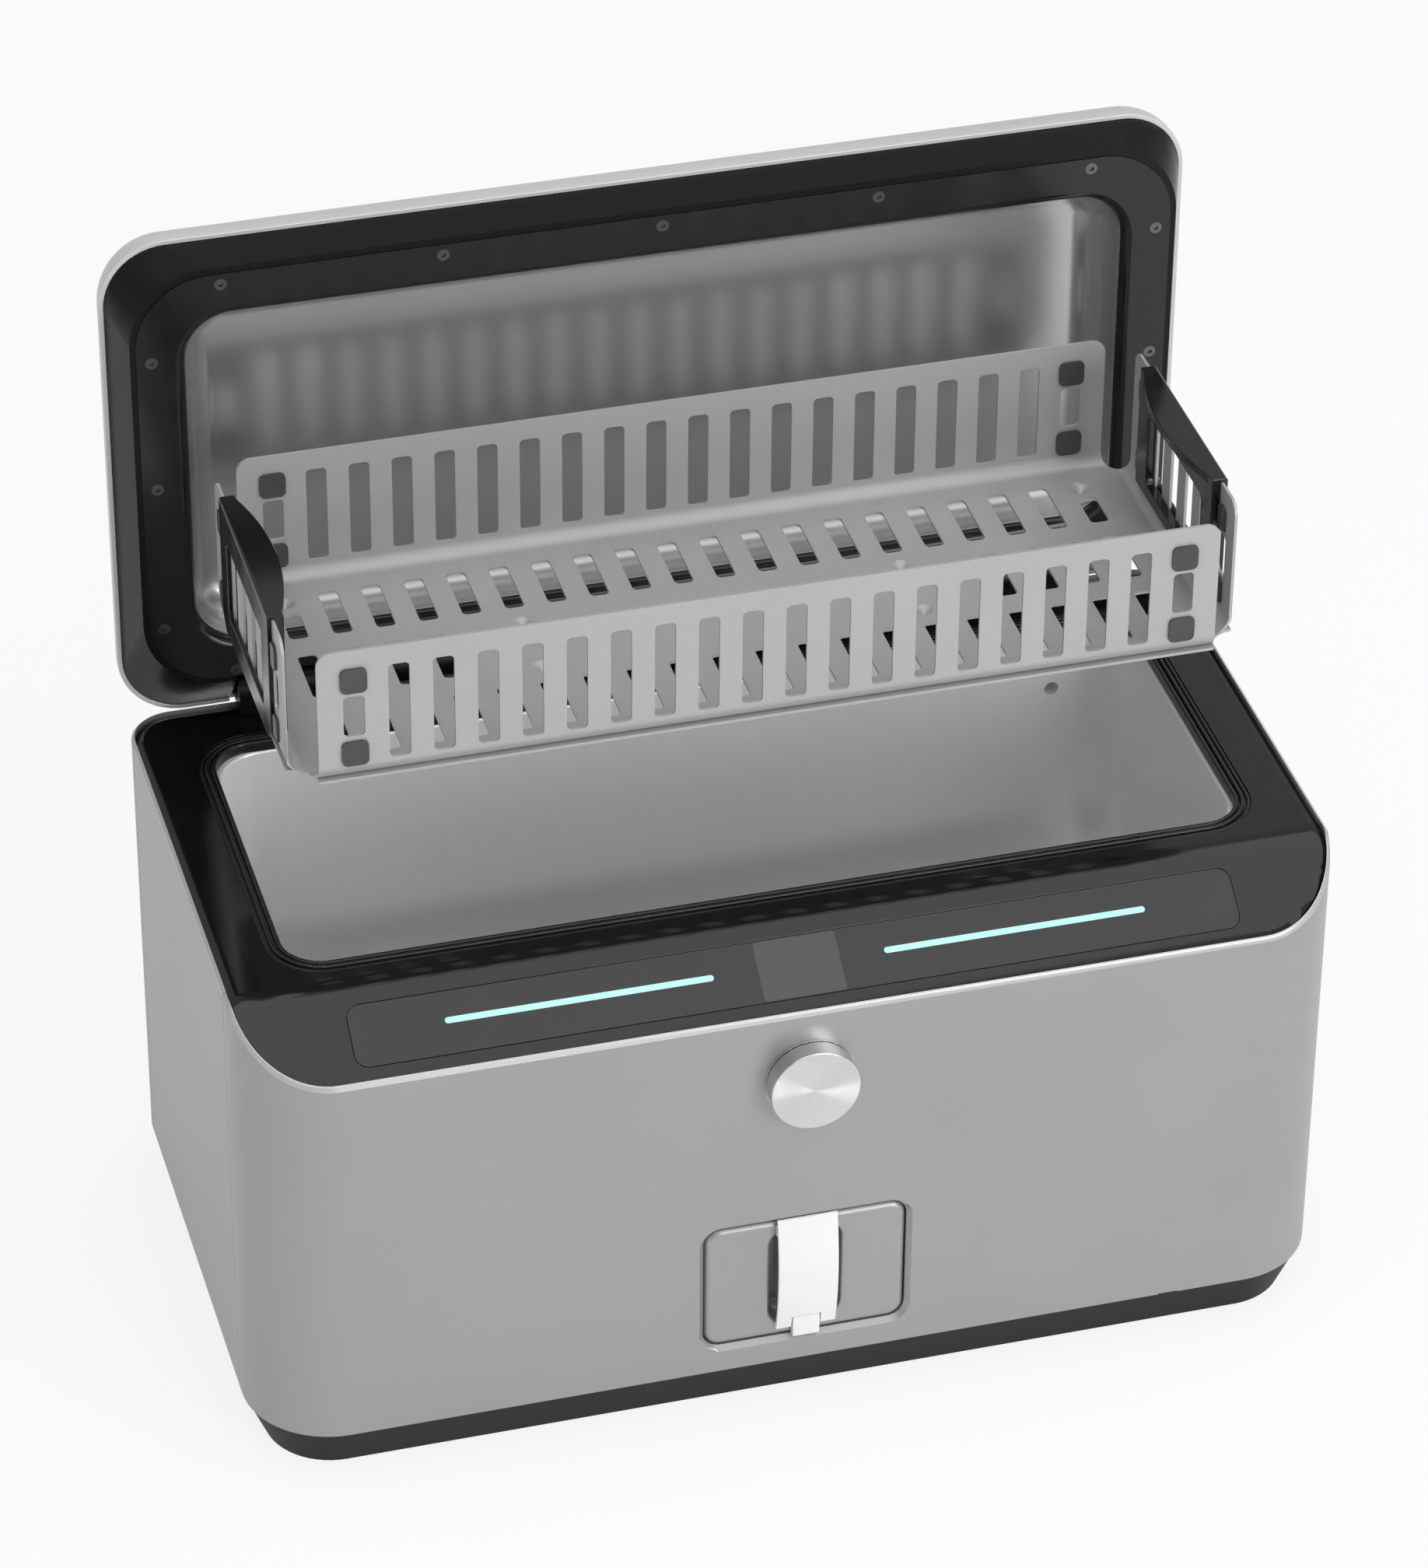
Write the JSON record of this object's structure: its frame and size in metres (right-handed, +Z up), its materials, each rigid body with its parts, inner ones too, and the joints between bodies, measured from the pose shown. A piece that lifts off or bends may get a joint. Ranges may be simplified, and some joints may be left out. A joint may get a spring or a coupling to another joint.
{
  "type": "plasma sterilizer",
  "caption": "Tabletop low-temperature plasma sterilizer: a wide box with a rear-hinged lid, a chamber with a lift-out slotted basket, a control knob and a cartridge drawer.",
  "frame": {"origin": "middle of the footprint on the surface it stands on, at the bottom of the feet", "axes": "+Z up, the control side faces -Y, +X to the right as seen from the front"},
  "size_m": [0.46, 0.2807, 0.4452],
  "materials": {
    "casing_grey": "satin light grey powder coat",
    "bright_edge": "bright cut edge over satin grey",
    "base_dark": "dark grey moulded base, fine texture",
    "rubber_black": "black rubber",
    "sheet_zinc": "zinc plated sheet",
    "cover_black": "glossy black moulded cover",
    "strip_glass": "dark grey printed panel, satin, bare",
    "light_bar": "lit diffuser, pale cyan",
    "screen": "grey display window, unlit",
    "steel_brushed": "fine brushed stainless steel",
    "steel_basket": "tumbled stainless sheet",
    "ceramic_white": "bisque ceramic",
    "insulation_grey": "needled insulation felt",
    "cast_grey": "cast aluminium",
    "box_black": "black coated housing",
    "nylon_black": "black nylon",
    "board_green": "solder mask green",
    "knob_metal": "turned aluminium",
    "lid_silver": "pale silver satin paint",
    "frame_black": "black moulding, semi-gloss",
    "plate_black": "gloss black plate",
    "strap_white": "white moulding",
    "drawer_grey": "satin light grey, as the casing",
    "cartridge_white": "translucent white bottle",
    "handle_black": "glossy black moulding",
    "pad_grey": "dark grey silicone",
    "screw_steel": "stainless screw"
  },
  "bodies": {
    "casing": {"base_tray": "base_dark", "feet": "rubber_black", "chassis_plate": "sheet_zinc", "front_panel": "casing_grey", "side_panel_left": "casing_grey", "side_panel_right": "casing_grey", "side_trims": "bright_edge", "rear_panel": "casing_grey", "rear_screws": "screw_steel", "top_cover": "cover_black", "glass_strip": "strip_glass", "light_bars": "light_bar", "display": "screen", "gasket": "rubber_black", "chamber": "steel_brushed", "chamber_port": "steel_brushed", "electrode": "steel_brushed", "standoffs": "ceramic_white", "insulation": "insulation_grey", "chamber_deck": "sheet_zinc", "vacuum_pump": "cast_grey", "plasma_generator": "cast_grey", "power_supply": "box_black", "exhaust_filter": "nylon_black", "valve_block": "cast_grey", "vaporizer": "cast_grey", "mains_inlet": "nylon_black", "control_board": "board_green", "knob_encoder": "nylon_black", "knob_ring": "knob_metal", "drawer_rails": "nylon_black", "hinge_blocks": "frame_black", "hinge_pins": "screw_steel"},
    "lid": {"lid_shell": "lid_silver", "lid_frame": "frame_black", "lid_plate": "plate_black", "lid_screws": "screw_steel", "lid_pan": "steel_brushed", "lid_insulation": "insulation_grey"},
    "knob": {"knob": "knob_metal"},
    "drawer": {"drawer_front": "drawer_grey", "drawer_strap": "strap_white", "drawer_tray": "nylon_black", "cartridge": "cartridge_white"},
    "button": {"release_button": "strap_white"},
    "basket": {"basket_sheet": "steel_basket", "basket_pads": "pad_grey", "basket_handle_left": "handle_black", "basket_handle_right": "handle_black"}
  },
  "joints": [
    {"name": "lid_hinge", "type": "hinge", "parent": "casing", "child": "lid", "pos_m": [0, 0.1175, 0.2325], "axis": [1, 0, 0], "range_deg": [0, 90]},
    {"name": "basket_lift", "type": "slide", "parent": "casing", "child": "basket", "axis": [0, 0, 1], "range_m": [-0.188, 0]},
    {"name": "knob_turn", "type": "hinge", "parent": "casing", "child": "knob", "pos_m": [0, -0.126, 0.1665], "axis": [0, -1, 0], "continuous": true},
    {"name": "drawer_slide", "type": "slide", "parent": "casing", "child": "drawer", "axis": [0, -1, 0], "range_m": [0, 0.08]},
    {"name": "button_press", "type": "slide", "parent": "drawer", "child": "button", "axis": [0, 1, 0], "range_m": [0, 0.0025], "stiffness_N_per_m": 400}
  ],
  "couplings": [
    {"joint": "basket_lift", "follows": "lid_hinge", "m_per_rad": -0.1195}
  ]
}
